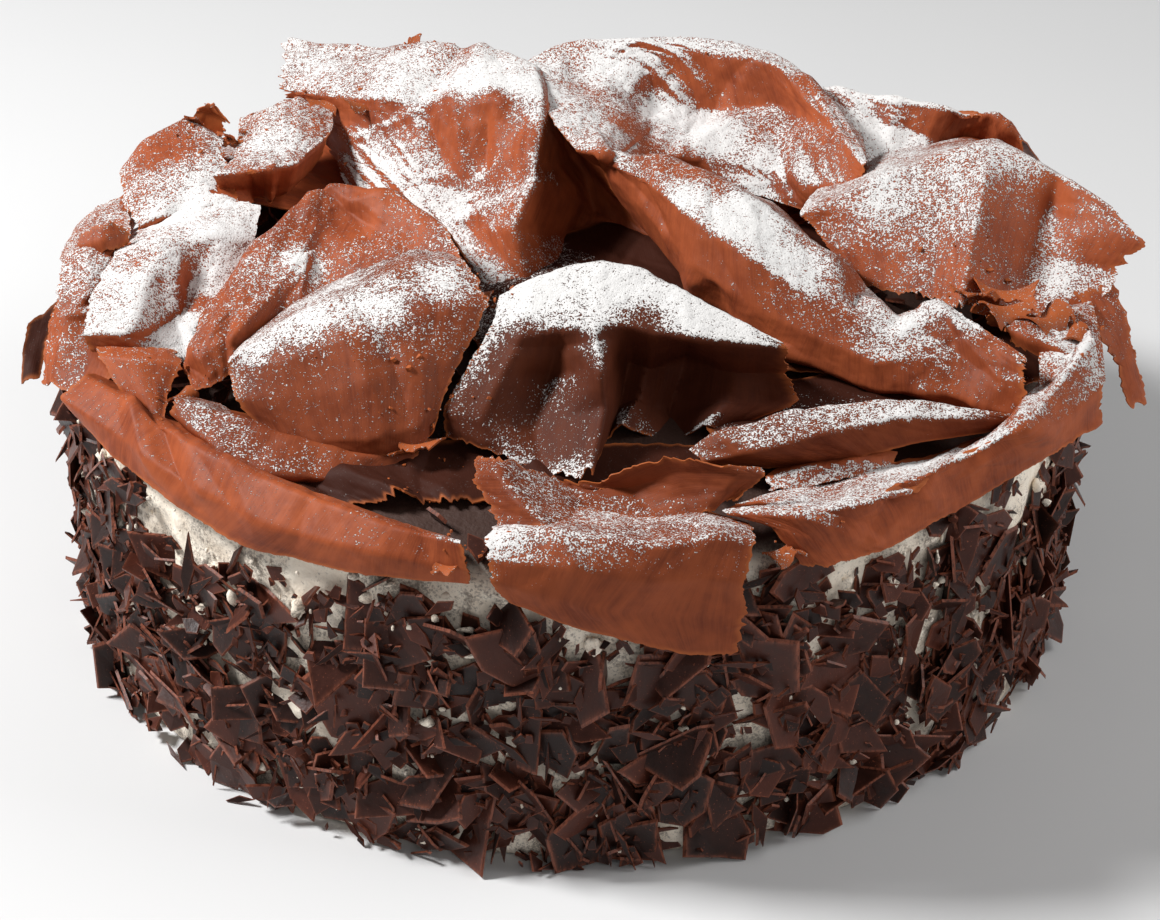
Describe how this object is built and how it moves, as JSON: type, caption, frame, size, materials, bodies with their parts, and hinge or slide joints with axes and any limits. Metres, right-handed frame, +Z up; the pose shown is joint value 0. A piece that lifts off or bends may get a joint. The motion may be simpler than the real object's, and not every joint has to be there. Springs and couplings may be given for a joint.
{
  "type": "black forest cake",
  "caption": "Whole round layer cake under cream, dark chocolate flakes on its side and large chocolate ruffles dusted with icing sugar on top.",
  "frame": {"origin": "middle of the flat base", "axes": "+Z up, the front of the cake faces -Y"},
  "size_m": [0.2813, 0.2728, 0.126],
  "materials": {
    "cream_and_flakes": "off-white cream almost covered by dark chocolate flakes",
    "ruffle_chocolate": "satin milk chocolate, dusted with icing sugar"
  },
  "bodies": {
    "root": {"cake_body": "cream_and_flakes", "curl_right_inner": "ruffle_chocolate", "curl_torn_left": "ruffle_chocolate", "curl_upper_left": "ruffle_chocolate", "ruffle_back_centre": "ruffle_chocolate", "ruffle_back_edge_1": "ruffle_chocolate", "ruffle_back_edge_2": "ruffle_chocolate", "ruffle_back_edge_3": "ruffle_chocolate", "ruffle_back_edge_4": "ruffle_chocolate", "ruffle_back_left": "ruffle_chocolate", "ruffle_back_right": "ruffle_chocolate", "ruffle_far_left": "ruffle_chocolate", "ruffle_front_bed": "ruffle_chocolate", "ruffle_front_centre": "ruffle_chocolate", "ruffle_front_edge": "ruffle_chocolate", "ruffle_front_flap": "ruffle_chocolate", "ruffle_front_roll": "ruffle_chocolate", "ruffle_left_band": "ruffle_chocolate", "ruffle_left_centre": "ruffle_chocolate", "ruffle_left_flap": "ruffle_chocolate", "ruffle_left_fold": "ruffle_chocolate", "ruffle_left_plateau": "ruffle_chocolate", "ruffle_left_pocket": "ruffle_chocolate", "ruffle_left_strip": "ruffle_chocolate", "ruffle_left_upper": "ruffle_chocolate", "ruffle_long_roll": "ruffle_chocolate", "ruffle_middle_bed": "ruffle_chocolate", "ruffle_ragged": "ruffle_chocolate", "ruffle_right_band": "ruffle_chocolate", "ruffle_right_bed": "ruffle_chocolate", "ruffle_right_curl": "ruffle_chocolate", "ruffle_right_hanging": "ruffle_chocolate", "ruffle_right_shoulder": "ruffle_chocolate", "ruffle_right_tent": "ruffle_chocolate", "shaving_far_left": "ruffle_chocolate"}
  },
  "joints": []
}
